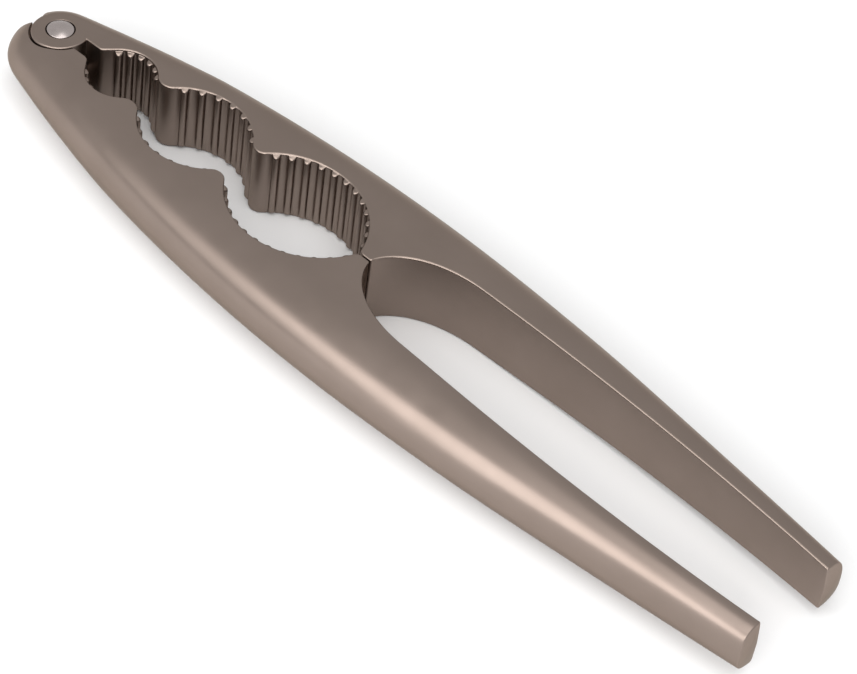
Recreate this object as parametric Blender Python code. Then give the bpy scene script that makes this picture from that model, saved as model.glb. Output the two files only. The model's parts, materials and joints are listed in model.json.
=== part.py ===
"""Die-cast nutcracker: two equal levers, one turned over onto the other, on one steel rivet.

Both levers are the same casting. Each has a round half-thickness ear at the head, three ribbed
nut pockets along its jaw and a D-section handle. The rivet goes through the two ears.
Plan drawings below use the pivot as their zero, +X towards the handle ends and +Y outwards.
Metres, +Z up. The finished part lies on its flat cheeks at Z = 0, centred on X and Y.
"""
import math

import bmesh
import bpy
from mathutils import Matrix, Vector

# Overall shape
OVERALL_LENGTH = 0.2006
HEAD_RADIUS = 0.0102
WRAP_ANGLE = math.radians(162)
PIVOT_TO_HEAD_TIP = -HEAD_RADIUS * math.cos(WRAP_ANGLE)
PIVOT_TO_END = OVERALL_LENGTH - PIVOT_TO_HEAD_TIP
WIDEST_X = 0.0900
HALF_WIDTH = 0.02245
TAIL_RADIUS = 0.436
TAIL_STRAIGHT_X = 0.139
HALF_THICKNESS = 0.00788

# Half section: a flat land, then a rounded side; both change from the head to full body
LAND_SHARE_HEAD = 0.45
LAND_SHARE_BODY = 0.49
SIDE_POWER_HEAD = 1.6
SIDE_POWER_BODY = 2.3
SIDE_POWER_END = 3.0
FULL_BODY_X = 0.030

# Side view: flat cheeks, a shallow arc to the head, an arc and a straight taper to the tail
CHEEK_START_X = 0.045
CHEEK_END_X = 0.092
HEAD_SIDE_RADIUS = 0.98
TAIL_SIDE_RADIUS = 0.86
TAPER_START_X = 0.117

# Hinge
EAR_RADIUS = 0.00588
RECESS_RADIUS = 0.0062
HALF_GAP = 0.00015
SHOULDER_ANGLE = math.radians(161)
BORE_RADIUS = 0.0023
COUNTERBORE_RADIUS = 0.00296
COUNTERBORE_FLOOR = 0.0056

# Rivet
SHANK_RADIUS = 0.0020
RIVET_HEAD_RADIUS = 0.00272
RIVET_HEAD_UNDERSIDE = 0.0059
RIVET_RIM_HEIGHT = 0.0069
RIVET_CROWN_HEIGHT = 0.0076

# Jaw: a narrow land beside the hinge, then three pockets (centre x, centre y, wall radius)
HINGE_LAND_Y = 0.0018
HINGE_LAND_END_X = 0.0098
SMALL_POCKET = (0.0176, -0.0003, 0.0073)
MIDDLE_POCKET = (0.0383, -0.0033, 0.01355)
LARGE_POCKET = (0.0661, -0.00515, 0.0174)
PINCH_RADIUS_SMALL_MIDDLE = 0.0032
PINCH_RADIUS_MIDDLE_LARGE = 0.0025
PINCH_RADIUS_TIP = 0.0015
CONTACT_Y = 0.00015
CONTACT_END_X = 0.0854
CONTACT_CORNER_RADIUS = 0.0005

# Ribs: (pocket, first angle, last angle, count, step down from the land), angles from its centre
RIB_ROWS = (
    (SMALL_POCKET, 139, 47, 6, 0.00085),
    (MIDDLE_POCKET, 134.5, 45.5, 7, 0.00045),
    (LARGE_POCKET, 135.8, 25.4, 12, 0.00045),
)
RIB_RADIUS = 0.0007
RIB_INSET = 0.00015
RIB_SIDES = 10

# Handle: inner face from the contact land out to a shallow arc
BOW_BEZIER = ((0.0872, 0.0050), (0.0932, 0.0105), (0.1050, 0.01076))
INNER_CREST_X = 0.1348
INNER_CREST_Y = 0.0113
INNER_RADIUS = 0.694
END_FACE_RADIUS = 0.042

# Mesh fineness
BODY_STEPS = 26
HEAD_STEPS = 7
SECTION_STEPS = 7
DEGREES_PER_STEP = 9
OVERSIZE = 0.010

PIVOT = Vector((PIVOT_TO_HEAD_TIP - OVERALL_LENGTH / 2, 0.0, HALF_THICKNESS))


# ---------------------------------------------------------------- drawing helpers

def polar(centre, radius, angle):
    """Point on a circle in plan."""
    return (centre[0] + radius * math.cos(angle), centre[1] + radius * math.sin(angle))


def arc(centre, radius, start, end, step=DEGREES_PER_STEP):
    """Points from the start angle to the end angle, both included."""
    count = max(1, math.ceil(abs(math.degrees(end - start)) / step))
    return [polar(centre, radius, start + (end - start) * i / count) for i in range(count + 1)]


def bezier(p0, p1, p2, p3, count):
    """Points of one cubic curve, both ends included."""
    points = []
    for i in range(count + 1):
        t = i / count
        s = 1 - t
        weights = (s ** 3, 3 * s * s * t, 3 * s * t * t, t ** 3)
        points.append(tuple(sum(w * p[k] for w, p in zip(weights, (p0, p1, p2, p3))) for k in (0, 1)))
    return points


def fillet_centre(pocket_a, pocket_b, radius):
    """Centre of a round nose that touches the outside of two pocket circles, on the lever's side."""
    ax, ay, ar = pocket_a
    bx, by, br = pocket_b
    reach_a = ar + radius
    reach_b = br + radius
    gap = math.hypot(bx - ax, by - ay)
    along = (reach_a ** 2 - reach_b ** 2 + gap ** 2) / (2 * gap)
    across = math.sqrt(reach_a ** 2 - along ** 2)
    ux, uy = (bx - ax) / gap, (by - ay) / gap
    return (ax + along * ux - across * uy, ay + along * uy + across * ux)


def angle_from(centre, point):
    return math.atan2(point[1] - centre[1], point[0] - centre[0])


# ---------------------------------------------------------------- outer body

HEAD_ARC_RADIUS = ((WIDEST_X ** 2 + HALF_WIDTH ** 2 - HEAD_RADIUS ** 2)
                   / (2 * (HALF_WIDTH - HEAD_RADIUS)))
HEAD_ARC_CENTRE = (WIDEST_X, HALF_WIDTH - HEAD_ARC_RADIUS)


def half_width(x):
    """Outer plan curve: an arc from the round head to the widest point, an arc and a straight tail."""
    if x <= WIDEST_X:
        return HEAD_ARC_CENTRE[1] + math.sqrt(HEAD_ARC_RADIUS ** 2 - (x - WIDEST_X) ** 2)
    bend = min(x, TAIL_STRAIGHT_X) - WIDEST_X
    slope = (TAIL_STRAIGHT_X - WIDEST_X) / TAIL_RADIUS
    return HALF_WIDTH - bend ** 2 / (2 * TAIL_RADIUS) - slope * max(0.0, x - TAIL_STRAIGHT_X)


def head_reach(angle):
    """Distance from the pivot to the outer curve, for directions on the head side."""
    tangent_angle = angle_from(HEAD_ARC_CENTRE, (0.0, 0.0))
    if angle >= tangent_angle:
        return HEAD_RADIUS
    cx, cy = HEAD_ARC_CENTRE
    along = cx * math.cos(angle) + cy * math.sin(angle)
    return along + math.sqrt(along ** 2 - cx ** 2 - cy ** 2 + HEAD_ARC_RADIUS ** 2)


def half_height(x):
    """Side curve of the body's flat top land."""
    if x < CHEEK_START_X:
        return HALF_THICKNESS - (x - CHEEK_START_X) ** 2 / (2 * HEAD_SIDE_RADIUS)
    bend = max(0.0, min(x, TAPER_START_X) - CHEEK_END_X)
    slope = (TAPER_START_X - CHEEK_END_X) / TAIL_SIDE_RADIUS
    return HALF_THICKNESS - bend ** 2 / (2 * TAIL_SIDE_RADIUS) - slope * max(0.0, x - TAPER_START_X)


def inner_face(x):
    """Plan curve of the handle's flat inner face."""
    return INNER_CREST_Y - (x - INNER_CREST_X) ** 2 / (2 * INNER_RADIUS)


def from_head_to_body(x, head_value, body_value):
    """Value that changes evenly from the pivot to where the body has its full section."""
    share = min(1.0, max(0.0, x / FULL_BODY_X))
    return head_value + (body_value - head_value) * share


def land_width(x):
    """Width of the flat top, from the middle plane to where the side starts to roll over."""
    if x < BOW_BEZIER[2][0]:
        return from_head_to_body(x, LAND_SHARE_HEAD, LAND_SHARE_BODY) * half_width(x)
    return inner_face(x)


def side_power(x):
    """How square the rounded side is: squarer towards the end of the handle."""
    to_end = max(0.0, (x - TAPER_START_X) / (PIVOT_TO_END - TAPER_START_X))
    body = from_head_to_body(x, SIDE_POWER_HEAD, SIDE_POWER_BODY)
    return body + (SIDE_POWER_END - body) * to_end


def half_section(origin, direction, reach, land):
    """Points of one half section, from the edge of the top land round to the bottom land."""
    points = []
    power = side_power(origin)
    for i in range(2 * SECTION_STEPS + 1):
        turn = math.pi / 2 * (1 - i / SECTION_STEPS)
        side = abs(math.cos(turn)) ** (2 / power)
        rise = math.copysign(abs(math.sin(turn)) ** (2 / power), math.sin(turn))
        if i == SECTION_STEPS:
            side, rise = 1.0, 0.0
        distance = land + (reach - land) * side
        x = origin + distance * direction[0]
        points.append(Vector((x, distance * direction[1], half_height(x) * rise)))
    return points


def body_mesh():
    """Closed outer body of the whole nutcracker, before the jaws and handles are parted."""
    mesh = bmesh.new()
    stations = [PIVOT_TO_END * (1 - i / BODY_STEPS) for i in range(BODY_STEPS + 1)]
    tops = [mesh.verts.new((x, 0, half_height(x))) for x in stations]
    bottoms = [mesh.verts.new((x, 0, -half_height(x))) for x in stations]

    def strip_of(x, side, top, bottom):
        outline = half_section(x, (0, side), half_width(x), land_width(x))
        return [top] + [mesh.verts.new(p) for p in outline] + [bottom]

    strips = [strip_of(x, 1, t, b) for x, t, b in zip(stations, tops, bottoms)]
    quarter = math.pi / 2 / HEAD_STEPS
    for i in range(1, 2 * HEAD_STEPS):
        angle = math.pi / 2 + quarter * i
        reach = head_reach(angle if angle <= math.pi else 2 * math.pi - angle)
        outline = half_section(0.0, (math.cos(angle), math.sin(angle)), reach, LAND_SHARE_HEAD * reach)
        strips.append([tops[-1]] + [mesh.verts.new(p) for p in outline] + [bottoms[-1]])
    strips += [strip_of(x, -1, t, b) for x, t, b in reversed(list(zip(stations, tops, bottoms)))]

    for vert in set(strips[0] + strips[-1]):
        vert.co.x -= vert.co.z ** 2 / (2 * END_FACE_RADIUS)
    for first, second in zip(strips, strips[1:] + strips[:1]):
        for a, b, c, d in zip(first, first[1:], second[1:], second):
            corners = list(dict.fromkeys((a, b, c, d)))
            if len(corners) > 2:
                mesh.faces.new(corners)
    bmesh.ops.recalc_face_normals(mesh, faces=mesh.faces)
    return mesh


# ---------------------------------------------------------------- lever plan

def jaw_outline():
    """Inner edge of the lever, from the hinge land to the start of the handle's inner face."""
    small, middle, large = SMALL_POCKET, MIDDLE_POCKET, LARGE_POCKET
    flank_start = (HINGE_LAND_END_X, HINGE_LAND_Y)
    distance = math.hypot(small[0] - flank_start[0], small[1] - flank_start[1])
    to_centre = angle_from(flank_start, small)
    flank_angle = to_centre + math.asin(small[2] / distance)
    points = [flank_start]
    nose_a = fillet_centre(small, middle, PINCH_RADIUS_SMALL_MIDDLE)
    nose_b = fillet_centre(middle, large, PINCH_RADIUS_MIDDLE_LARGE)
    points += arc(small, small[2], flank_angle + math.pi / 2, angle_from(small, nose_a))
    points += arc(nose_a, PINCH_RADIUS_SMALL_MIDDLE, angle_from(small, nose_a) - math.pi,
                  angle_from(middle, nose_a) - math.pi)[1:]
    points += arc(middle, middle[2], angle_from(middle, nose_a), angle_from(middle, nose_b))[1:]
    points += arc(nose_b, PINCH_RADIUS_MIDDLE_LARGE, angle_from(middle, nose_b) - math.pi,
                  angle_from(large, nose_b) - math.pi)[1:]
    tip_y = CONTACT_Y + PINCH_RADIUS_TIP
    tip_x = large[0] + math.sqrt((large[2] + PINCH_RADIUS_TIP) ** 2 - (tip_y - large[1]) ** 2)
    tip = (tip_x, tip_y)
    points += arc(large, large[2], angle_from(large, nose_b), angle_from(large, tip))[1:]
    points += arc(tip, PINCH_RADIUS_TIP, angle_from(large, tip) - math.pi, -math.pi / 2, 18)[1:]
    corner = (CONTACT_END_X, CONTACT_Y + CONTACT_CORNER_RADIUS)
    points += arc(corner, CONTACT_CORNER_RADIUS, -math.pi / 2, 0, 30)
    points += bezier(points[-1], *BOW_BEZIER, 10)[1:]
    return points


def handle_outline():
    """Inner face of the handle, carried on past its end."""
    start = BOW_BEZIER[2][0]
    past_end = PIVOT_TO_END + OVERSIZE
    count = 10
    points = []
    for i in range(1, count + 1):
        x = start + (past_end - start) * i / count
        points.append((x, inner_face(x)))
    return points


def lever_plan_solid():
    """Stepped block that parts one lever from the body: ear above, wrap below, jaw full height."""
    block = bmesh.new()
    far = HALF_WIDTH + OVERSIZE
    high = HALF_THICKNESS + OVERSIZE
    zero = (0.0, 0.0)

    shared = jaw_outline() + handle_outline()
    shared += [(shared[-1][0], far), (polar(zero, far, SHOULDER_ANGLE)[0], far)]
    shared.append(polar(zero, 2 * HEAD_RADIUS, SHOULDER_ANGLE))
    recess_start = math.asin(HINGE_LAND_Y / RECESS_RADIUS)
    ear_start = math.asin(HINGE_LAND_Y / EAR_RADIUS)
    recess = arc(zero, RECESS_RADIUS, SHOULDER_ANGLE, recess_start)
    ear = arc(zero, EAR_RADIUS, SHOULDER_ANGLE, 2 * math.pi + ear_start)
    wrap = [polar(zero, 2 * HEAD_RADIUS, WRAP_ANGLE)]
    wrap += arc(zero, RECESS_RADIUS, WRAP_ANGLE, SHOULDER_ANGLE)[:-1]

    def ring(points, z):
        return [block.verts.new((x, y, z)) for x, y in points]

    def wall(low, top):
        for i, vert in enumerate(low):
            j = (i + 1) % len(low)
            block.faces.new((vert, low[j], top[j], top[i]))

    # lower layer: shared outline + wrap + recess
    base = ring(shared, -high), ring(wrap, -high), ring(recess, -high)
    step = ring(shared, -HALF_GAP), ring(wrap, -HALF_GAP), ring(recess, -HALF_GAP)
    wall(sum(base, []), sum(step, []))
    block.faces.new(sum(base, []))
    block.faces.new([step[0][-1]] + step[1] + [step[2][0]])

    # middle layer: the shared outline and the recess only
    shelf = ring(shared, HALF_GAP), ring(recess, HALF_GAP)
    wall(step[0] + step[2], shelf[0] + shelf[1])

    # upper layer: the shared outline closed by the ear
    foot = [shelf[1][0]] + ring(ear, HALF_GAP) + [shelf[1][-1]]
    top = ring(shared + [recess[0]] + ear + [recess[-1]], high)
    wall(shelf[0] + foot, top)
    block.faces.new(foot + shelf[1][-2:0:-1])
    block.faces.new(top)
    bmesh.ops.recalc_face_normals(block, faces=block.faces)
    return block


# ---------------------------------------------------------------- ribs, bores and rivet

def rib_mesh():
    """All ribs of one lever: upright round bars sunk halfway into the pocket walls."""
    mesh = bmesh.new()
    for pocket, first, last, count, end_step in RIB_ROWS:
        for i in range(count):
            angle = math.radians(first + (last - first) * i / (count - 1))
            x, y = polar(pocket, pocket[2] - RIB_INSET, angle)
            height = 2 * (half_height(x) - end_step)
            place = Matrix.Translation((x, y, 0)) @ Matrix.Rotation(angle, 4, "Z")
            bmesh.ops.create_cone(mesh, cap_ends=True, segments=RIB_SIDES, radius1=RIB_RADIUS,
                                  radius2=RIB_RADIUS, depth=height, matrix=place)
    return mesh


def turned_mesh(profile, segments):
    """Solid of revolution about Z from (radius, z) points that start and end on the axis."""
    mesh = bmesh.new()
    rows = []
    for radius, z in profile:
        if radius == 0:
            rows.append([mesh.verts.new((0, 0, z))])
            continue
        row = []
        for i in range(segments):
            turn = 2 * math.pi * i / segments
            row.append(mesh.verts.new((radius * math.cos(turn), radius * math.sin(turn), z)))
        rows.append(row)
    for low, high in zip(rows, rows[1:]):
        for i in range(segments):
            j = (i + 1) % segments
            corners = (low[i % len(low)], low[j % len(low)], high[j % len(high)], high[i % len(high)])
            mesh.faces.new(list(dict.fromkeys(corners)))
    bmesh.ops.recalc_face_normals(mesh, faces=mesh.faces)
    return mesh


def bore_profile():
    """Rivet hole through the ear, opened out to a counterbore at the top."""
    high = HALF_THICKNESS + OVERSIZE
    return [(0, -high), (BORE_RADIUS, -high), (BORE_RADIUS, COUNTERBORE_FLOOR),
            (COUNTERBORE_RADIUS, COUNTERBORE_FLOOR), (COUNTERBORE_RADIUS, high), (0, high)]


def rivet_profile():
    """Shank with a low domed head at each end."""
    rise = RIVET_CROWN_HEIGHT - RIVET_RIM_HEIGHT
    dome_radius = (RIVET_HEAD_RADIUS ** 2 + rise ** 2) / (2 * rise)
    steps = 4
    dome = []
    for i in range(steps):
        radius = RIVET_HEAD_RADIUS * (1 - i / steps)
        dome.append((radius, RIVET_CROWN_HEIGHT - dome_radius + math.sqrt(dome_radius ** 2 - radius ** 2)))
    upper = [(SHANK_RADIUS, RIVET_HEAD_UNDERSIDE), (RIVET_HEAD_RADIUS, RIVET_HEAD_UNDERSIDE)]
    upper += dome + [(0, RIVET_CROWN_HEIGHT)]
    return [(radius, -z) for radius, z in reversed(upper)] + upper


# ---------------------------------------------------------------- objects

def add_object(name, mesh_data, material=None):
    """New object from a bmesh, in the scene's collection."""
    mesh = bpy.data.meshes.new(name)
    mesh_data.to_mesh(mesh)
    mesh_data.free()
    mesh.shade_smooth()
    mesh.set_sharp_from_angle(angle=math.radians(32))
    if material:
        mesh.materials.append(material)
    thing = bpy.data.objects.new(name, mesh)
    bpy.context.collection.objects.link(thing)
    return thing


def combine(target, operation, tool):
    """Boolean of the target with a tool object, applied to the target's mesh."""
    modifier = target.modifiers.new(operation.title(), "BOOLEAN")
    modifier.operation = operation
    modifier.solver = "EXACT"
    modifier.object = tool
    bpy.context.view_layer.update()
    evaluated = target.evaluated_get(bpy.context.evaluated_depsgraph_get())
    result = bpy.data.meshes.new_from_object(evaluated)
    target.modifiers.clear()
    target.data = result
    bpy.data.objects.remove(tool)


def metal(name, colour, roughness):
    material = bpy.data.materials.new(name)
    material.use_nodes = True
    shader = material.node_tree.nodes["Principled BSDF"]
    shader.inputs["Base Color"].default_value = (*colour, 1)
    shader.inputs["Roughness"].default_value = roughness
    shader.inputs["Metallic"].default_value = 1.0
    return material


def make_lever_casting(material):
    """The casting, drawn with its pivot at the object's origin and its ear uppermost."""
    lever = add_object("right_lever", body_mesh(), material)
    combine(lever, "INTERSECT", add_object("plan_block", lever_plan_solid()))
    combine(lever, "DIFFERENCE", add_object("bore_tool", turned_mesh(bore_profile(), 32)))
    combine(lever, "UNION", add_object("rib_bars", rib_mesh()))
    lever.data.name = "lever_casting"
    return lever


def main():
    for thing in list(bpy.data.objects):
        bpy.data.objects.remove(thing)
    satin = metal("satin_champagne_plating", (0.36, 0.31, 0.27), 0.36)
    steel = metal("bright_steel", (0.62, 0.60, 0.59), 0.25)

    right_lever = make_lever_casting(satin)
    right_lever.location = PIVOT

    left_lever = bpy.data.objects.new("left_lever", right_lever.data)
    bpy.context.collection.objects.link(left_lever)
    left_lever.location = PIVOT
    left_lever.rotation_euler = (math.pi, 0, 0)

    rivet = add_object("pivot_rivet", turned_mesh(rivet_profile(), 32), steel)
    rivet.location = PIVOT


main()
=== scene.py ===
"""Looks of the die-cast nutcracker: two satin plated levers on one steel rivet.

The two levers are the same casting, one turned over. The casting is drawn about its pivot, with
+X towards the handle end, +Y outwards and its hinge ear uppermost. Metres, +Z up.
"""
import json
import math

import bmesh
import bpy
import numpy as np
from mathutils import Matrix, Vector
from mathutils.geometry import delaunay_2d_cdt

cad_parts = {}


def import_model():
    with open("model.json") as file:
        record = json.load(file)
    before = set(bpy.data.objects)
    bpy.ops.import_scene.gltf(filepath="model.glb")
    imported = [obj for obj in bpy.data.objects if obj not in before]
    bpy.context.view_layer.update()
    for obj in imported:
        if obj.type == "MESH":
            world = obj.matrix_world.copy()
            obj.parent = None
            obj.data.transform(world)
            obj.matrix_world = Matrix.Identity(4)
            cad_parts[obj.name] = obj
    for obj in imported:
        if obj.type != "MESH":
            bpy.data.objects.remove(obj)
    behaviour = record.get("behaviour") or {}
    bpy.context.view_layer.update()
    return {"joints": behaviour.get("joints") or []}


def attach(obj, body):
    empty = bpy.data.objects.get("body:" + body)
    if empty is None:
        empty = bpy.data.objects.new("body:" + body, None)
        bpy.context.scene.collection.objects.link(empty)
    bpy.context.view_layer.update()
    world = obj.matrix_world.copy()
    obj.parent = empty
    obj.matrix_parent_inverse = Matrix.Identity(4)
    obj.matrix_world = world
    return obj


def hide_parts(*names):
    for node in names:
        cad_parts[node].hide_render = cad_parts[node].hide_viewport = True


# Overall shape, as in the CAD
OVERALL_LENGTH = 0.2006
HEAD_RADIUS = 0.0102
WRAP_ANGLE = math.radians(162)
PIVOT_TO_HEAD_TIP = -HEAD_RADIUS * math.cos(WRAP_ANGLE)
PIVOT_TO_END = OVERALL_LENGTH - PIVOT_TO_HEAD_TIP
WIDEST_X = 0.0900
HALF_WIDTH = 0.02245
TAIL_RADIUS = 0.436
TAIL_STRAIGHT_X = 0.139
HALF_THICKNESS = 0.00788

# Half section: a flat land, then a rounded side; both change from the head to full body. The land
# turns into the handle's over a blend either side of the handle's start.
LAND_SHARE_HEAD = 0.45
LAND_SHARE_BODY = 0.49
LAND_TO_HANDLE_BLEND = 0.006
SIDE_POWER_HEAD = 1.6
SIDE_POWER_BODY = 2.3
SIDE_POWER_END = 3.0
FULL_BODY_X = 0.030

# Side view: flat cheeks, a shallow arc to the head, an arc and a straight taper to the tail
CHEEK_START_X = 0.045
CHEEK_END_X = 0.092
HEAD_SIDE_RADIUS = 0.98
TAIL_SIDE_RADIUS = 0.86
TAPER_START_X = 0.117

# Hinge: the shoulder's wall is half a degree short of the CAD's, to keep its corner in the CAD's box
PIVOT = (0.0, 0.0)
EAR_RADIUS = 0.00588
RECESS_RADIUS = 0.0062
HALF_GAP = 0.00015
SHOULDER_ANGLE = math.radians(160.5)
BORE_RADIUS = 0.0023
COUNTERBORE_RADIUS = 0.00296
COUNTERBORE_FLOOR = 0.0056

# Rivet
SHANK_RADIUS = 0.0020
RIVET_HEAD_RADIUS = 0.00272
RIVET_HEAD_UNDERSIDE = 0.0059
RIVET_RIM_HEIGHT = 0.0069
RIVET_CROWN_HEIGHT = 0.0076
RIVET_RIM_ROUND = 0.00022
RIVET_UNDERSIDE_BEVEL = 0.0001

# Jaw: a narrow land beside the hinge, then three pockets (centre x, centre y, wall radius)
HINGE_LAND_Y = 0.0018
HINGE_LAND_END_X = 0.0098
HINGE_LAND_ROUND = 0.0016
SMALL_POCKET = (0.0176, -0.0003, 0.0073)
MIDDLE_POCKET = (0.0383, -0.0033, 0.01355)
LARGE_POCKET = (0.0661, -0.00515, 0.0174)
PINCH_RADIUS_SMALL_MIDDLE = 0.0032
PINCH_RADIUS_MIDDLE_LARGE = 0.0025
PINCH_RADIUS_TIP = 0.0015
CONTACT_Y = 0.00015
CONTACT_END_X = 0.0854
CONTACT_CORNER_RADIUS = 0.0005

# Ribs: (first angle, last angle, count, step down from the face), angles from the pocket's centre
SMALL_RIBS = (139, 47, 6, 0.00060)
MIDDLE_RIBS = (134.5, 45.5, 7, 0.00018)
LARGE_RIBS = (135.8, 25.4, 12, 0.00030)
NO_RIBS_STEP = 0.00045
RIB_RADIUS = 0.0007
RIB_INSET = 0.00015
RIB_ROOT = 0.00074
RIB_TURNS = (88, 70, 48, 24, 0, -24, -48, -70, -88)
RIB_DOME = 0.00065
RIB_DOME_SHARES = (0, 0.39, 0.68, 0.87, 0.97, 1)

# Handle: inner face from the contact land out to a shallow arc
BOW_BEZIER = ((0.0872, 0.0050), (0.0932, 0.0105), (0.1050, 0.01076))
HANDLE_START_X = BOW_BEZIER[2][0]
INNER_CREST_X = 0.1348
INNER_CREST_Y = 0.0113
INNER_RADIUS = 0.694
INNER_EASE = 0.012
END_FACE_RADIUS = 0.042
END_PULL_LENGTH = 0.012
END_BULGE_ACROSS = 0.0002
END_ROUND = 0.0003
END_ROUND_STEPS = 5
END_FACE_SHARES = (0.96, 0.88, 0.75, 0.6, 0.45, 0.3, 0.15, 0.0)

# Edge rounding: its radius and its greatest share of the local height, then the narrow margin
# between it and the face. A wall's foot is half the gap up, or a share of a low wall's height.
EDGE_ROUND = 0.00036
EDGE_HEIGHT_SHARE = 0.35
EDGE_STEPS = 5
EDGE_MARGIN = 0.00012
FOOT_HEIGHT_SHARE = 0.3
RIM_ROUND = 0.00012

# Mesh fineness: spacings, counts and shares of the way
STATION_STEP = 0.0012
HANDLE_STATION_STEP = 0.0018
HEAD_STATIONS = 20
SIDE_ROWS = 14
LAND_ROWS = (1.0, 0.8, 0.6, 0.4, 0.2)
EAR_ROW_RADII = (0.0038, 0.0044, 0.0050)
EAR_ROW_START = math.radians(165)
EAR_ROW_END = math.radians(384)
EAR_ROW_DEGREES = 9
SHOULDER_SHARES = (0.02, 0.06, 0.12, 0.22, 0.36, 0.52, 0.70, 0.87)
CORNER_STEP = 0.00012
WALL_DEGREES = 5
NOSE_DEGREES = 8
CONTACT_CORNER_DEGREES = 15
LAND_STEPS = 6
FLANK_STEPS = 4
CONTACT_STEPS = 5
BOW_STEPS = 26
BORE_POINTS = 56
RIVET_POINTS = 72
RIVET_RIM_STEPS = 6
RIVET_CROWN_SHARES = (0.86, 0.7, 0.5, 0.3, 0.15, 0.0)
RIVET_SHARP_ANGLE = math.radians(40)

# Limits: room between a face's points and its edge, greatest lengthening of an offset at a corner
# (as its inverse), where and how closely faces take the drawn surface's direction, tolerances
EDGE_CLEARANCE = 0.00022
MITRE_LIMIT = 0.5
END_FACE_ZONE = 0.001
SAME_SIDE = 0.7
FAN_TOLERANCE = 1e-7
WELD = 1e-6
HAIR = 1e-6

# Noise values between these become the two ends of a colour ramp
RAMP_ENDS = (0.3, 0.7)

# Floor and studio: a softbox is (name, place, target, size, how bright it looks, turn in degrees)
FLOOR_REACH = 4
FLOOR_DROP = 0.00005
WORLD_BRIGHTNESS = 0.70
SOFTBOXES = (
    ("key_softbox", (-0.115, -0.42, 0.31), (-0.115, 0.0, 0.31), (0.27, 0.64), 2.8, 32),
    ("side_softbox", (-0.350, -0.42, 0.34), (-0.350, 0.0, 0.34), (0.20, 0.46), 1.2, 0),
    ("overhead_softbox", (0.30, -0.25, 0.95), (0.30, -0.25, 0.0), (1.0, 1.0), 1.7, 0),
    ("front_softbox", (0.50, -0.80, 0.50), (0.05, 0.0, 0.0), (0.6, 0.6), 4.0, 0),
)

# Camera: a long lens from beyond and above the handle ends, with a slight roll
CAMERA_FROM_PIVOT = (0.40059, -0.37626, 0.48351)
CAMERA_RIGHT = (0.71325, 0.69382, 0.09944)
CAMERA_FORWARD = (-0.43832, 0.55223, -0.70917)
CAMERA_LENS_MM = 154.74
CAMERA_SENSOR_MM = 36


# ---------------------------------------------------------------- drawing helpers

def polar(centre, radius, angle):
    """Point on a circle in plan."""
    return (centre[0] + radius * math.cos(angle), centre[1] + radius * math.sin(angle))


def arc(centre, radius, start, end, step=WALL_DEGREES):
    """Points from the start angle to the end angle, both included, about step degrees apart."""
    count = max(1, math.ceil(abs(math.degrees(end - start)) / step))
    return [polar(centre, radius, start + (end - start) * i / count) for i in range(count + 1)]


def line(start, end, count):
    """Evenly spaced points, both ends included."""
    return [tuple(a + (b - a) * i / count for a, b in zip(start, end)) for i in range(count + 1)]


def bezier(p0, p1, p2, p3, count):
    """Points of one cubic curve, both ends included."""
    points = []
    for i in range(count + 1):
        t = i / count
        s = 1 - t
        weights = (s ** 3, 3 * s * s * t, 3 * s * t * t, t ** 3)
        corners = tuple(zip(weights, (p0, p1, p2, p3)))
        points.append(tuple(sum(weight * corner[k] for weight, corner in corners) for k in (0, 1)))
    return points


def angle_from(centre, point):
    """Direction in plan from a centre to a point."""
    return math.atan2(point[1] - centre[1], point[0] - centre[0])


def fillet_centre(pocket_a, pocket_b, radius):
    """Centre of a round nose that touches the outside of two pocket circles, on the lever's side."""
    ax, ay, ar = pocket_a
    bx, by, br = pocket_b
    reach_a = ar + radius
    reach_b = br + radius
    gap = math.hypot(bx - ax, by - ay)
    along = (reach_a ** 2 - reach_b ** 2 + gap ** 2) / (2 * gap)
    across = math.sqrt(reach_a ** 2 - along ** 2)
    ux, uy = (bx - ax) / gap, (by - ay) / gap
    return (ax + along * ux - across * uy, ay + along * uy + across * ux)


# ---------------------------------------------------------------- outer body

HEAD_ARC_RADIUS = ((WIDEST_X ** 2 + HALF_WIDTH ** 2 - HEAD_RADIUS ** 2)
                   / (2 * (HALF_WIDTH - HEAD_RADIUS)))
HEAD_ARC_CENTRE = (WIDEST_X, HALF_WIDTH - HEAD_ARC_RADIUS)


def half_width(x):
    """Outer plan curve: an arc from the round head to the widest point, an arc and a straight tail."""
    if x <= WIDEST_X:
        return HEAD_ARC_CENTRE[1] + math.sqrt(HEAD_ARC_RADIUS ** 2 - (x - WIDEST_X) ** 2)
    bend = min(x, TAIL_STRAIGHT_X) - WIDEST_X
    slope = (TAIL_STRAIGHT_X - WIDEST_X) / TAIL_RADIUS
    return HALF_WIDTH - bend ** 2 / (2 * TAIL_RADIUS) - slope * max(0.0, x - TAIL_STRAIGHT_X)


def head_reach(angle):
    """Distance from the pivot to the outer curve, for directions on the head side."""
    if angle >= angle_from(HEAD_ARC_CENTRE, PIVOT):
        return HEAD_RADIUS
    cx, cy = HEAD_ARC_CENTRE
    along = cx * math.cos(angle) + cy * math.sin(angle)
    return along + math.sqrt(along ** 2 - cx ** 2 - cy ** 2 + HEAD_ARC_RADIUS ** 2)


def half_height(x):
    """Side curve of the body's flat top land."""
    if x < CHEEK_START_X:
        return HALF_THICKNESS - (x - CHEEK_START_X) ** 2 / (2 * HEAD_SIDE_RADIUS)
    bend = max(0.0, min(x, TAPER_START_X) - CHEEK_END_X)
    slope = (TAPER_START_X - CHEEK_END_X) / TAIL_SIDE_RADIUS
    return HALF_THICKNESS - bend ** 2 / (2 * TAIL_SIDE_RADIUS) - slope * max(0.0, x - TAPER_START_X)


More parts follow.
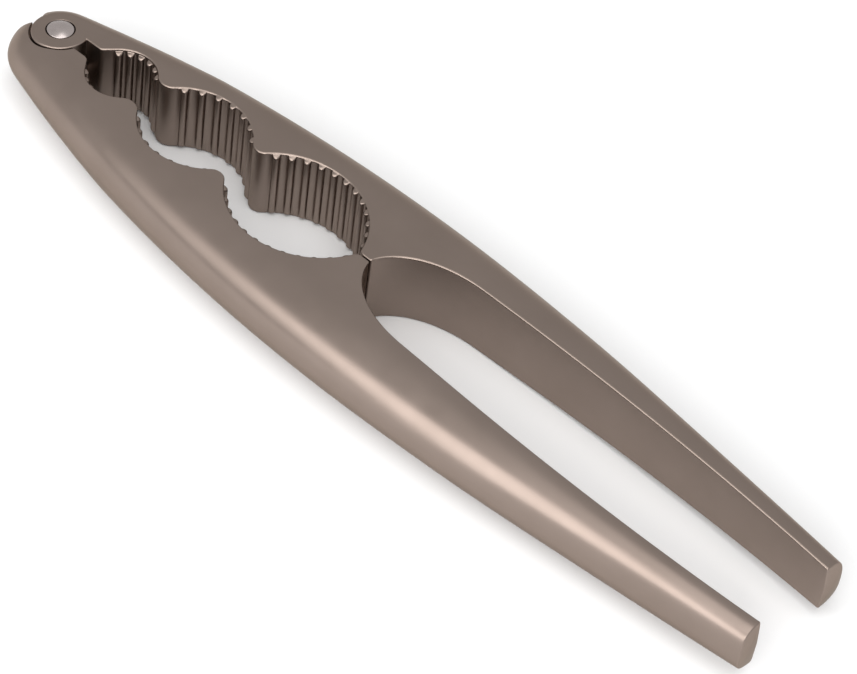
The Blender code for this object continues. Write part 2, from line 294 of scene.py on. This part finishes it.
def inner_face(x):
    """Plan curve of the handle's flat inner face, eased in from the end of the bow."""
    curve = INNER_CREST_Y - (x - INNER_CREST_X) ** 2 / (2 * INNER_RADIUS)
    start = INNER_CREST_Y - (HANDLE_START_X - INNER_CREST_X) ** 2 / (2 * INNER_RADIUS)
    ease = max(0.0, 1 - (x - HANDLE_START_X) / INNER_EASE) ** 2
    return curve + (BOW_BEZIER[2][1] - start) * ease


def share_along(x, start, end):
    """0 before the start, 1 after the end, and evenly between them in between."""
    return min(1.0, max(0.0, (x - start) / (end - start)))


def land_width(x):
    """Width of the flat top, from the centre line to where the side starts to roll over."""
    share = share_along(x, 0.0, FULL_BODY_X)
    body = (LAND_SHARE_HEAD + (LAND_SHARE_BODY - LAND_SHARE_HEAD) * share) * half_width(x)
    to_handle = share_along(x, HANDLE_START_X - LAND_TO_HANDLE_BLEND,
                            HANDLE_START_X + LAND_TO_HANDLE_BLEND)
    return body + (inner_face(max(x, HANDLE_START_X)) - body) * to_handle


def side_power(x):
    """How square the rounded side is: squarer towards the end of the handle."""
    body = SIDE_POWER_HEAD + (SIDE_POWER_BODY - SIDE_POWER_HEAD) * share_along(x, 0.0, FULL_BODY_X)
    return body + (SIDE_POWER_END - body) * share_along(x, TAPER_START_X, PIVOT_TO_END)


def roll(x, y):
    """How far a plan point is over the rounded side, from 0 at the land to 1 at the outer curve."""
    if x >= 0:
        reach, land, distance = half_width(x), land_width(x), abs(y)
    else:
        reach = head_reach(math.atan2(abs(y), x))
        land, distance = LAND_SHARE_HEAD * reach, math.hypot(x, y)
    return max(0.0, (distance - land) / (reach - land))


def height(x, y):
    """Height of the body's outer surface over the middle plane."""
    power = side_power(x)
    return half_height(x) * max(0.0, 1 - roll(x, y) ** power) ** (1 / power)


def level(x, y, z):
    """1 on the body's outer surface, less inside it, more outside it."""
    power = side_power(x)
    return roll(x, y) ** power + (z / half_height(x)) ** power


def surface_normal(x, y, z):
    """Outward direction of the body's outer surface, for a point on its upper half."""
    power = side_power(x)
    gradient = ((level(x + HAIR, y, z) - level(x - HAIR, y, z)) / (2 * HAIR),
                (level(x, y + HAIR, z) - level(x, y - HAIR, z)) / (2 * HAIR),
                power * (z / half_height(x)) ** (power - 1) / half_height(x))
    return Vector(gradient).normalized()


# ---------------------------------------------------------------- inner outline
# A column is (wall point, point moved out over a rib, step from the face down to the rib's end).

def plain(points, step=NO_RIBS_STEP):
    """Columns of a stretch of wall that no rib stands on."""
    return [(p, p, step) for p in points]


def overrun(pocket, start, end, ribs):
    """How far the first and last rib's feet reach past the ends of the pocket's arc."""
    first, last = math.radians(ribs[0]), math.radians(ribs[1])
    root = RIB_ROOT / pocket[2]
    return (max(0.0, first + root - start) * pocket[2], max(0.0, end - last + root) * pocket[2])


def pocket_columns(pocket, start, end, ribs, before, after):
    """Columns of one pocket's wall, its ribs included.

    The wall goes clockwise from the start angle to the end angle. Before and after are the round
    noses (centre, radius) it runs into, or None for a straight wall.
    """
    first, last, count, step = ribs
    radius = pocket[2]
    root = RIB_ROOT / radius

    def wall(angle):
        """Wall point at an angle, carried on into the neighbour past the pocket's ends."""
        nose, junction = (before, start) if angle > start else (after, end)
        if end <= angle <= start:
            return polar(pocket, radius, angle)
        if nose:
            return polar(nose[0], nose[1], junction - math.pi - (angle - junction) * radius / nose[1])
        x, y = polar(pocket, radius, junction)
        past = (angle - junction) * radius
        return (x - past * math.sin(junction), y + past * math.cos(junction))

    def bare(from_angle, to_angle):
        """Wall points after the first angle, up to the second; none where it isn't reached."""
        turn = to_angle - from_angle
        pieces = math.ceil(math.degrees(-turn) / WALL_DEGREES - HAIR)
        return [wall(from_angle + turn * i / pieces) for i in range(1, pieces + 1)]

    columns = []
    reached = max(start, math.radians(first) + root)
    for i in range(count):
        middle = math.radians(first + (last - first) * i / (count - 1))
        columns += plain(bare(reached, middle + root), step)
        for degrees in RIB_TURNS:
            turn = math.radians(degrees)
            side = RIB_RADIUS * math.sin(turn)
            raised = radius - RIB_INSET - RIB_RADIUS * math.cos(turn)
            columns.append((wall(middle + side / radius),
                            polar(pocket, raised, middle + side / raised), step))
        reached = middle - root
        columns += plain([wall(reached)], step)
    return columns + plain(bare(reached, min(end, reached)), step)


def jaw_rounds():
    """Round nose after each pocket (centre, radius); the last one is the tip before the contact."""
    large_x, large_y, large_radius = LARGE_POCKET
    nose_a = fillet_centre(SMALL_POCKET, MIDDLE_POCKET, PINCH_RADIUS_SMALL_MIDDLE)
    nose_b = fillet_centre(MIDDLE_POCKET, LARGE_POCKET, PINCH_RADIUS_MIDDLE_LARGE)
    tip_y = CONTACT_Y + PINCH_RADIUS_TIP
    tip_x = large_x + math.sqrt((large_radius + PINCH_RADIUS_TIP) ** 2 - (tip_y - large_y) ** 2)
    return ((nose_a, PINCH_RADIUS_SMALL_MIDDLE), (nose_b, PINCH_RADIUS_MIDDLE_LARGE),
            ((tip_x, tip_y), PINCH_RADIUS_TIP))


def flank_direction():
    """Direction of the straight flank from the hinge land's end, touching the small pocket."""
    corner = (HINGE_LAND_END_X, HINGE_LAND_Y)
    distance = math.hypot(SMALL_POCKET[0] - corner[0], SMALL_POCKET[1] - corner[1])
    return angle_from(corner, SMALL_POCKET) + math.asin(SMALL_POCKET[2] / distance)


def hinge_land_columns(flank, first_foot):
    """Hinge land, its rounded corner, and the flank up to where the first rib's foot may reach."""
    setback = HINGE_LAND_ROUND * math.tan(flank / 2)
    round_centre = (HINGE_LAND_END_X - setback, HINGE_LAND_Y + HINGE_LAND_ROUND)
    land_start = (math.sqrt(RECESS_RADIUS ** 2 - HINGE_LAND_Y ** 2), HINGE_LAND_Y)
    land_round = arc(round_centre, HINGE_LAND_ROUND, -math.pi / 2, flank - math.pi / 2, NOSE_DEGREES)
    points = line(land_start, land_round[0], LAND_STEPS)[:-1] + land_round
    wall_x, wall_y = polar(SMALL_POCKET, SMALL_POCKET[2], flank + math.pi / 2)
    wall_start = (wall_x - first_foot * math.cos(flank), wall_y - first_foot * math.sin(flank))
    return plain(points + line(points[-1], wall_start, FLANK_STEPS)[1:])


def jaw_columns():
    """Inner outline from the hinge land to the start of the handle's inner face."""
    small, middle, large = SMALL_POCKET, MIDDLE_POCKET, LARGE_POCKET
    rounds = jaw_rounds()
    nose_a, nose_b, tip = (centre for centre, _ in rounds)
    flank = flank_direction()
    walls = ((small, flank + math.pi / 2, angle_from(small, nose_a), SMALL_RIBS),
             (middle, angle_from(middle, nose_a), angle_from(middle, nose_b), MIDDLE_RIBS),
             (large, angle_from(large, nose_b), angle_from(large, tip), LARGE_RIBS))
    past = [overrun(*wall) for wall in walls]

    columns = hinge_land_columns(flank, past[0][0])
    for i, (centre, radius) in enumerate(rounds):
        before = rounds[i - 1] if i else None
        columns += pocket_columns(*walls[i], before, rounds[i])
        nose_start = walls[i][2] - math.pi + past[i][1] / radius
        nose_end = walls[i + 1][1] - math.pi - past[i + 1][0] / radius if i < 2 else -math.pi / 2
        columns += plain(arc(centre, radius, nose_start, nose_end, NOSE_DEGREES))[1:]
    columns += plain(line(columns[-1][0], (CONTACT_END_X, CONTACT_Y), CONTACT_STEPS))[1:]
    corner_centre = (CONTACT_END_X, CONTACT_Y + CONTACT_CORNER_RADIUS)
    columns += plain(arc(corner_centre, CONTACT_CORNER_RADIUS, -math.pi / 2, 0,
                         CONTACT_CORNER_DEGREES))[1:]
    return columns + plain(bezier(columns[-1][0], *BOW_BEZIER, BOW_STEPS))[1:]


def hinge_columns():
    """Shoulder wall, then the two ways round the hinge: the ear above and the recess below."""
    shoulder = [polar(PIVOT, HEAD_RADIUS, SHOULDER_ANGLE)]
    for share in SHOULDER_SHARES:
        reach = HEAD_RADIUS + (RECESS_RADIUS - HEAD_RADIUS) * share
        shoulder.append(polar(PIVOT, reach, SHOULDER_ANGLE))
    shoulder.append(polar(PIVOT, RECESS_RADIUS, SHOULDER_ANGLE))
    ear_end = 2 * math.pi + math.asin(HINGE_LAND_Y / EAR_RADIUS)
    step = CORNER_STEP / EAR_RADIUS
    corner = polar(PIVOT, EAR_RADIUS, ear_end)
    ear = [polar(PIVOT, EAR_RADIUS, SHOULDER_ANGLE)]
    ear += arc(PIVOT, EAR_RADIUS, SHOULDER_ANGLE + step, ear_end - step)
    ear += [corner, (corner[0] + CORNER_STEP, HINGE_LAND_Y)]
    recess_end = math.asin(HINGE_LAND_Y / RECESS_RADIUS)
    recess = arc(PIVOT, RECESS_RADIUS, SHOULDER_ANGLE, recess_end)[1:-1]
    return plain(shoulder), plain(ear), plain(recess)


def inward_normals(points):
    """Direction into the metal at each point of an outline, lengthened at corners to keep the offset."""
    normals = []
    for i, point in enumerate(points):
        before = Vector(point) - Vector(points[max(0, i - 1)])
        after = Vector(points[min(len(points) - 1, i + 1)]) - Vector(point)
        sides = [Vector((-v.y, v.x)).normalized() for v in (before, after) if v.length > 0]
        mean = sum(sides, Vector((0, 0))).normalized()
        normals.append(mean / max(MITRE_LIMIT, mean.dot(sides[0])))
    normals[-1] = Vector((0, 1))
    return normals


def profile(column, inward):
    """One column from just over the middle plane up the wall and round the edge onto the face."""
    (x, y), (rib_x, rib_y), step = column
    top = height(x, y)
    edge = min(EDGE_ROUND, EDGE_HEIGHT_SHARE * top)
    foot = min(HALF_GAP, FOOT_HEIGHT_SHARE * top)
    dome_start = top - step - RIB_DOME

    def out_over_rib(z):
        """Plan point at a height, domed back from the rib to the wall near the rib's end."""
        share = math.sqrt(1 - share_along(z, dome_start, dome_start + RIB_DOME) ** 2)
        return x + (rib_x - x) * share, y + (rib_y - y) * share

    rise = min(dome_start + RIB_DOME, top - edge) - dome_start
    rows = [foot] + [dome_start + rise * share for share in RIB_DOME_SHARES] + [top - edge]
    points = [(*out_over_rib(z), max(foot, min(z, top - edge))) for z in rows]
    for i in range(1, EDGE_STEPS + 1):
        turn = math.pi / 2 * i / EDGE_STEPS
        reach = edge * (1 - math.cos(turn))
        drop = edge * (1 - math.sin(turn))
        rib_px, rib_py = out_over_rib(top - drop)
        px, py = rib_px + inward.x * reach, rib_py + inward.y * reach
        points.append((px, py, height(px, py) - drop))
    reach = edge * (1 + EDGE_MARGIN / EDGE_ROUND)
    px, py = x + inward.x * reach, y + inward.y * reach
    return points + [(px, py, height(px, py))]


# ---------------------------------------------------------------- mesh assembly

def flipped(point):
    """The same point on the casting's other side."""
    return (point[0], point[1], -point[2])


def add_strip(mesh, rows):
    """Four-sided faces between rows of points of equal length."""
    made = [[mesh.verts.new(p) for p in row] for row in rows]
    for low, high in zip(made, made[1:]):
        for a, b, c, d in zip(low, low[1:], high[1:], high):
            mesh.faces.new((a, b, c, d))


def add_fan(mesh, loops, inside, surface):
    """Triangles that fill the first loop, leave the others open and use the points inside."""
    corners = [p for loop in loops for p in loop]
    edges = []
    first = 0
    for loop in loops:
        count = len(loop)
        edges += [(first + i, first + (i + 1) % count) for i in range(count)]
        first += count
    known = corners + [(x, y, surface(x, y)) for x, y in inside]
    flat = [Vector(p[:2]) for p in known]
    points, _, faces, origins, _, _ = delaunay_2d_cdt(flat, edges, [], 2, FAN_TOLERANCE)
    made = []
    for point, origin in zip(points, origins):
        place = known[origin[0]] if origin else (point.x, point.y, surface(point.x, point.y))
        made.append(mesh.verts.new(place))
    in_hole = range(len(loops[0]), len(corners))
    for face in faces:
        if not all(origins[i] and origins[i][0] in in_hole for i in face):
            mesh.faces.new([made[i] for i in face])


def side_share(row):
    """Spacing of the rows over the rounded side, closest together at the outer curve."""
    return math.sin(math.pi / 2 * row / SIDE_ROWS)


def outer_stations():
    """Section lines from the handle's start round the head: (origin, direction, reach, land)."""
    count = round(HANDLE_START_X / STATION_STEP)
    lines = []
    for i in range(1, count + 1):
        x = HANDLE_START_X * (1 - i / count)
        lines.append(((x, 0.0), (0.0, 1.0), half_width(x), land_width(x)))
    for i in range(1, HEAD_STATIONS + 1):
        angle = math.pi / 2 + (SHOULDER_ANGLE - math.pi / 2) * i / HEAD_STATIONS
        reach = head_reach(angle)
        lines.append((PIVOT, (math.cos(angle), math.sin(angle)), reach, LAND_SHARE_HEAD * reach))
    return lines


def along(station, distance):
    """Plan point on a section line."""
    origin, direction = station[:2]
    return (origin[0] + direction[0] * distance, origin[1] + direction[1] * distance)


def inner_grid(stations):
    """Plan points that carry the faces' curvature between the inner edge and the outer curve."""
    points = []
    for station in stations[:-1]:
        reach, land = station[2:]
        points += [along(station, land + (reach - land) * side_share(k)) for k in range(1, SIDE_ROWS)]
        points += [along(station, land * share) for share in LAND_ROWS]
    for radius in EAR_ROW_RADII:
        points += arc(PIVOT, radius, EAR_ROW_START, EAR_ROW_END, EAR_ROW_DEGREES)
    return points


def inside_polygon(spots, ring):
    """Which of the spots lie inside a closed polygon, by counting the sides beyond each."""
    inside = np.zeros(len(spots), bool)
    for (ax, ay), (bx, by) in zip(ring, np.roll(ring, -1, axis=0)):
        if ay == by:
            continue
        level_with = (ay > spots[:, 1]) != (by > spots[:, 1])
        cross_x = ax + (spots[:, 1] - ay) * (bx - ax) / (by - ay)
        inside ^= level_with & (spots[:, 0] < cross_x)
    return inside


def keep_clear(points, boundary, open_loops, room):
    """Points inside the boundary polygon that leave room to it where it has an edge rounding."""
    spots = np.array(points)
    clear = inside_polygon(spots, np.array([p[:2] for p in boundary]))
    for loop in open_loops:
        nodes = np.array([p[:2] for p in loop])
        for (ax, ay), (bx, by) in zip(nodes, nodes[1:]):
            side = np.array((bx - ax, by - ay))
            squared = max(HAIR ** 2, side @ side)
            share = np.clip(((spots - (ax, ay)) @ side) / squared, 0, 1)
            gap = np.linalg.norm(spots - ((ax, ay) + share[:, None] * side), axis=1)
            clear = clear & (gap > room)
    return [tuple(p) for p in spots[clear]]


def add_side(mesh, columns, sign, stations, hole=None):
    """Wall, rounded edge and face of one side of the head and jaw; sign is +1 above, -1 below."""
    to_side = (lambda p: p) if sign > 0 else flipped
    normals = inward_normals([column[0] for column in columns])
    profiles = [profile(column, normal) for column, normal in zip(columns, normals)]
    add_strip(mesh, [[to_side(p) for p in row] for row in profiles])
    inner = [row[-1] for row in profiles]
    start = inner[-1]
    section = [(x, y, height(x, y)) for x, y in section_rows(start[0], start[1])]
    outer = [(*along(station, station[2]), 0.0) for station in stations]
    boundary = inner[1:] + section + outer
    loops = [boundary] + ([hole] if hole else [])
    guarded = [inner] + ([hole + hole[:1]] if hole else [])
    inside = keep_clear(inner_grid(stations), boundary, guarded, EDGE_CLEARANCE)
    if hole:
        inside = [p for p in inside if math.hypot(*p) > math.hypot(*hole[0][:2])]
    loops = [[to_side(p) for p in loop] for loop in loops]
    add_fan(mesh, loops, inside, lambda x, y: sign * height(x, y))


def section_rows(x, inner_y):
    """Plan points of one handle section, from the inner edge's margin to the outer curve."""
    reach = half_width(x)
    rows = [(x, inner_y + (reach - inner_y) * side_share(k)) for k in range(1, SIDE_ROWS)]
    return rows + [(x, reach)]


def handle_section(x):
    """Upper half of the handle's section, from just over the middle plane to the outer curve."""
    wall = (x, inner_face(x))
    upper = profile((wall, wall, NO_RIBS_STEP), Vector((0, 1)))
    rows = section_rows(x, upper[-1][1])
    side = [(px, py, height(px, py)) for px, py in rows[:-1]]
    return upper + side + [(x, rows[-1][1], 0.0)]


def end_pull(x, z):
    """How far the handle's last stretch is drawn back at a height, so that its end face is domed."""
    share = share_along(x, PIVOT_TO_END - END_PULL_LENGTH, PIVOT_TO_END - END_ROUND)
    return share ** 2 * z ** 2 / (2 * END_FACE_RADIUS)


def end_caps(end, ring):
    """Closed rings from the last section round the end's edge and in over its domed face."""
    middle_y = (ring[0][1] + half_width(end)) / 2
    half_wide = half_width(end) - middle_y
    half_high = half_height(end)
    caps = []
    for turn in np.linspace(0, math.pi / 2, END_ROUND_STEPS + 1):
        out = end + END_ROUND * math.sin(turn)
        cut = END_ROUND * (1 - math.cos(turn))
        caps.append([(out, middle_y + (y - middle_y) * (1 - cut / half_wide), z * (1 - cut / half_high))
                     for _, y, z in ring])
    rim = caps[-1]
    for share in END_FACE_SHARES:
        out = end + END_ROUND + END_BULGE_ACROSS * (1 - share ** 2)
        caps.append([(out, middle_y + (y - middle_y) * share, z * share) for _, y, z in rim])
    return caps


def add_handle(mesh):
    """Handle from the end of the bow to its round-edged, domed end face."""
    end = PIVOT_TO_END - END_BULGE_ACROSS - END_ROUND
    count = round((end - HANDLE_START_X) / HANDLE_STATION_STEP)
    stations = [HANDLE_START_X + (end - HANDLE_START_X) * i / count for i in range(count + 1)]
    upper = [handle_section(x) for x in stations]
    ring = upper[-1] + [flipped(p) for p in reversed(upper[-1][:-1])]
    ring.append(ring[0])

    def domed(rows):
        """Rows with their last stretch drawn back above and below the middle plane."""
        return [[(x - end_pull(x, z), y, z) for x, y, z in row] for row in rows]

    add_strip(mesh, domed(upper))
    add_strip(mesh, domed([[flipped(p) for p in row] for row in upper]))
    add_strip(mesh, domed([[flipped(row[0]), row[0]] for row in upper]))
    add_strip(mesh, domed(end_caps(end, ring)))


def circle(radius, surface, count=BORE_POINTS):
    """Ring of points about the pivot, each as high as the surface there."""
    ring = []
    for i in range(count):
        x, y = polar(PIVOT, radius, 2 * math.pi * i / count)
        ring.append((x, y, surface(x, y)))
    return ring


def add_rivet_hole(mesh):
    """Counterbore and bore through the ear, with softened rims; returns the rings it joins."""
    margin = circle(COUNTERBORE_RADIUS + 2 * RIM_ROUND, height)
    rings = [margin]
    for degrees in (90, 60, 30, 0):
        turn = math.radians(degrees)
        drop = RIM_ROUND * (1 - math.sin(turn))
        rings.append(circle(COUNTERBORE_RADIUS + RIM_ROUND * (1 - math.cos(turn)),
                            lambda x, y, drop=drop: height(x, y) - drop))
    for radius, z in ((COUNTERBORE_RADIUS, COUNTERBORE_FLOOR + RIM_ROUND),
                      (COUNTERBORE_RADIUS - RIM_ROUND, COUNTERBORE_FLOOR),
                      (BORE_RADIUS + RIM_ROUND, COUNTERBORE_FLOOR),
                      (BORE_RADIUS, COUNTERBORE_FLOOR - RIM_ROUND),
                      (BORE_RADIUS, HALF_GAP)):
        rings.append(circle(radius, lambda x, y, z=z: z))
    add_strip(mesh, [ring + ring[:1] for ring in rings])
    return margin, rings[-1]


def casting_mesh(name):
    """The whole casting as one closed mesh: two sides, the wall between them, ledge and handle."""
    mesh = bmesh.new()
    shoulder, ear, recess = hinge_columns()
    jaw = jaw_columns()
    stations = outer_stations()
    margin, bore = add_rivet_hole(mesh)
    above = shoulder + ear + jaw
    below = [(wall, rib, max(step, NO_RIBS_STEP)) for wall, rib, step in shoulder + recess + jaw]
    add_side(mesh, above, 1, stations, margin)
    add_side(mesh, below, -1, stations)

    feet = [profile(c, Vector((0, 1)))[0] for c in below]
    add_strip(mesh, [[flipped(p), p] for p in feet])
    ledge = [(x, y, HALF_GAP) for (x, y), _, _ in [shoulder[-1]] + ear + [jaw[0]]]
    ledge += [(x, y, HALF_GAP) for (x, y), _, _ in reversed(recess)]
    add_fan(mesh, [ledge, bore], [], lambda x, y: HALF_GAP)
    add_handle(mesh)

    bmesh.ops.remove_doubles(mesh, verts=mesh.verts, dist=WELD)
    bmesh.ops.dissolve_degenerate(mesh, dist=WELD / 10, edges=mesh.edges)
    bmesh.ops.recalc_face_normals(mesh, faces=mesh.faces)
    data = bpy.data.meshes.new(name)
    mesh.to_mesh(data)
    mesh.free()
    data.shade_smooth()
    smooth_by_shape(data)
    return data


def smooth_by_shape(data):
    """Shading directions from the drawn surface on the outside, from the faces everywhere else."""
    directions = []
    for vert in data.vertices:
        x, y, z = vert.co
        direction = vert.normal.copy()
        if x < PIVOT_TO_END - END_FACE_ZONE and abs(height(x, y) - abs(z)) < 5 * WELD:
            exact = surface_normal(x, y, abs(z))
            if z < 0:
                exact.z = -exact.z
            if exact.dot(direction) > SAME_SIDE:
                direction = exact
        directions.append(direction)
    data.normals_split_custom_set_from_vertices(directions)


def rivet_profile():
    """Upper half of the rivet's outline as (radius, height): shank, head, rounded rim, low dome."""
    rise = RIVET_CROWN_HEIGHT - RIVET_RIM_HEIGHT
    dome = (RIVET_HEAD_RADIUS ** 2 + rise ** 2) / (2 * rise)
    points = [(SHANK_RADIUS, RIVET_HEAD_UNDERSIDE),
              (RIVET_HEAD_RADIUS - RIVET_UNDERSIDE_BEVEL, RIVET_HEAD_UNDERSIDE),
              (RIVET_HEAD_RADIUS, RIVET_HEAD_UNDERSIDE + RIVET_UNDERSIDE_BEVEL)]
    lean = math.asin((RIVET_HEAD_RADIUS - RIVET_RIM_ROUND) / dome)
    for i in range(RIVET_RIM_STEPS + 1):
        turn = (math.pi / 2 - lean) * i / RIVET_RIM_STEPS
        points.append((RIVET_HEAD_RADIUS - RIVET_RIM_ROUND * (1 - math.cos(turn)),
                       RIVET_RIM_HEIGHT - RIVET_RIM_ROUND * (1 - math.sin(turn))))
    top_radius, top_z = points[-1]
    lift = RIVET_CROWN_HEIGHT - dome + math.sqrt(dome ** 2 - top_radius ** 2) - top_z
    for share in RIVET_CROWN_SHARES:
        radius = top_radius * share
        points.append((radius, RIVET_CROWN_HEIGHT - dome + math.sqrt(dome ** 2 - radius ** 2) - lift))
    return points


def rivet_mesh(name):
    """Rivet with the same head at each end."""
    upper = rivet_profile()
    mesh = bmesh.new()
    rings = []
    for radius, z in [(r, -z) for r, z in reversed(upper)] + upper:
        ring = circle(radius, lambda x, y, z=z: z, RIVET_POINTS)
        rings.append(ring + ring[:1])
    add_strip(mesh, rings)
    bmesh.ops.remove_doubles(mesh, verts=mesh.verts, dist=WELD)
    bmesh.ops.recalc_face_normals(mesh, faces=mesh.faces)
    data = bpy.data.meshes.new(name)
    mesh.to_mesh(data)
    mesh.free()
    data.shade_smooth()
    data.set_sharp_from_angle(angle=RIVET_SHARP_ANGLE)
    return data


# ---------------------------------------------------------------- materials

def new_material(name):
    """Material with its node tree and its shader node."""
    material = bpy.data.materials.new(name)
    material.use_nodes = True
    return material, material.node_tree, material.node_tree.nodes["Principled BSDF"]


def add_node(tree, kind, **values):
    """Node with some of its inputs or settings given."""
    node = tree.nodes.new(kind)
    for key, value in values.items():
        if key in node.inputs:
            node.inputs[key].default_value = value
        else:
            setattr(node, key, value)
    return node


def noise(tree, where, scale, detail):
    """Fractal noise from 0 to 1 over a place; a larger scale is finer."""
    node = add_node(tree, "ShaderNodeTexNoise", Scale=scale, Detail=detail, Roughness=0.5)
    tree.links.new(where, node.inputs["Vector"])
    return node.outputs["Fac"]


def ramp(tree, value, low, high):
    """Colour ramp between two colours over the middle of a value's range."""
    node = tree.nodes.new("ShaderNodeValToRGB")
    for element, position, colour in zip(node.color_ramp.elements, RAMP_ENDS, (low, high)):
        element.position = position
        element.color = (*colour, 1)
    tree.links.new(value, node.inputs["Fac"])
    return node.outputs["Color"]


def satin_plating():
    """Satin champagne plating on a fine-blasted casting: soft gloss with a very fine grain."""
    material, tree, shader = new_material("satin_champagne_plating")
    where = tree.nodes.new("ShaderNodeTexCoord").outputs["Object"]
    shader.inputs["Metallic"].default_value = 1.0
    shader.inputs["Specular Tint"].default_value = (0.68, 0.64, 0.60, 1)
    clouds = noise(tree, where, scale=90, detail=3)
    colour = ramp(tree, clouds, (0.258, 0.206, 0.177), (0.276, 0.221, 0.191))
    tree.links.new(colour, shader.inputs["Base Color"])
    polish = noise(tree, where, scale=260, detail=4)
    gloss = ramp(tree, polish, (0.30,) * 3, (0.34,) * 3)
    tree.links.new(gloss, shader.inputs["Roughness"])
    grain = noise(tree, where, scale=9000, detail=2)
    bump = add_node(tree, "ShaderNodeBump", Strength=0.10, Distance=0.00002)
    tree.links.new(grain, bump.inputs["Height"])
    tree.links.new(bump.outputs["Normal"], shader.inputs["Normal"])
    return material


def rivet_steel():
    """Bright turned steel with faint tumbling marks."""
    material, tree, shader = new_material("bright_rivet_steel")
    where = tree.nodes.new("ShaderNodeTexCoord").outputs["Object"]
    shader.inputs["Metallic"].default_value = 1.0
    spots = noise(tree, where, scale=350, detail=2)
    colour = ramp(tree, spots, (0.42, 0.37, 0.355), (0.48, 0.425, 0.41))
    tree.links.new(colour, shader.inputs["Base Color"])
    wear = noise(tree, where, scale=900, detail=2)
    gloss = ramp(tree, wear, (0.24,) * 3, (0.30,) * 3)
    tree.links.new(gloss, shader.inputs["Roughness"])
    bump = add_node(tree, "ShaderNodeBump", Strength=0.04, Distance=0.00003)
    tree.links.new(wear, bump.inputs["Height"])
    tree.links.new(bump.outputs["Normal"], shader.inputs["Normal"])
    return material


def pale_floor():
    """Matt, nearly white floor."""
    material, tree, shader = new_material("pale_floor")
    shader.inputs["Base Color"].default_value = (0.86, 0.86, 0.86, 1)
    shader.inputs["Roughness"].default_value = 0.9
    shader.inputs["Specular IOR Level"].default_value = 0.1
    return material


# ---------------------------------------------------------------- scene

def add_piece(name, data, material, place):
    """Object of one mesh and one material, at a place given as a matrix."""
    data.materials.append(material)
    piece = bpy.data.objects.new(name, data)
    bpy.context.collection.objects.link(piece)
    piece.matrix_world = place
    return piece


def add_floor():
    """Flat square floor, a hair below the object so that their faces don't meet."""
    reach = FLOOR_REACH
    corners = [(-reach, -reach, 0), (reach, -reach, 0), (reach, reach, 0), (-reach, reach, 0)]
    data = bpy.data.meshes.new("floor")
    data.from_pydata(corners, [], [(0, 1, 2, 3)])
    floor = bpy.data.objects.new("floor", data)
    data.materials.append(pale_floor())
    bpy.context.collection.objects.link(floor)
    floor.location = (0, 0, -FLOOR_DROP)


def add_softbox(name, place, target, size, radiance, turn):
    """Soft rectangular light, given by how bright its face looks; the camera doesn't see it."""
    light = bpy.data.lights.new(name, "AREA")
    light.shape = "RECTANGLE"
    light.size, light.size_y = size
    light.energy = math.pi * size[0] * size[1] * radiance
    box = bpy.data.objects.new(name, light)
    bpy.context.collection.objects.link(box)
    aim = (Vector(target) - Vector(place)).to_track_quat("-Z", "Y").to_matrix().to_4x4()
    about_its_axis = Matrix.Rotation(math.radians(turn), 4, "Z")
    box.matrix_world = Matrix.Translation(place) @ aim @ about_its_axis
    box.visible_camera = False


def add_world(brightness):
    """Even white light from all round."""
    world = bpy.data.worlds.new("studio")
    bpy.context.scene.world = world
    world.use_nodes = True
    background = world.node_tree.nodes["Background"]
    background.inputs["Color"].default_value = (1.0, 1.0, 1.0, 1)
    background.inputs["Strength"].default_value = brightness


def add_camera(pivot):
    """Camera at its place relative to the hinge's pivot."""
    view = bpy.data.cameras.new("camera")
    camera = bpy.data.objects.new("camera", view)
    bpy.context.collection.objects.link(camera)
    right = Vector(CAMERA_RIGHT).normalized()
    forward = Vector(CAMERA_FORWARD).normalized()
    up = right.cross(forward).normalized()
    right = forward.cross(up)
    turn = Matrix((right, up, -forward)).transposed().to_4x4()
    camera.matrix_world = Matrix.Translation(pivot + Vector(CAMERA_FROM_PIVOT)) @ turn
    view.sensor_width = CAMERA_SENSOR_MM
    view.lens = CAMERA_LENS_MM
    view.clip_start = 0.01
    bpy.context.scene.camera = camera


def main():
    """Loads the frame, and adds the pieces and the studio."""
    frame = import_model()
    pivot = Vector(frame["joints"][0]["pos_m"])

    satin = satin_plating()
    casting = casting_mesh("lever_casting")
    upright = Matrix.Translation(pivot)
    turned_over = upright @ Matrix.Rotation(math.pi, 4, "X")
    for side, body, place in (("right", "right_side", upright), ("left", "left_side", turned_over)):
        lever = add_piece(f"{side}_lever_casting", casting.copy(), satin, place)
        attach(lever, body)
        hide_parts(f"{side}_lever")
    rivet = add_piece("hinge_rivet", rivet_mesh("hinge_rivet"), rivet_steel(), upright)
    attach(rivet, "left_side")
    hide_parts("pivot_rivet")

    add_floor()
    add_world(WORLD_BRIGHTNESS)
    for softbox in SOFTBOXES:
        add_softbox(*softbox)
    add_camera(pivot)
    bpy.context.scene.view_settings.view_transform = "Standard"


main()
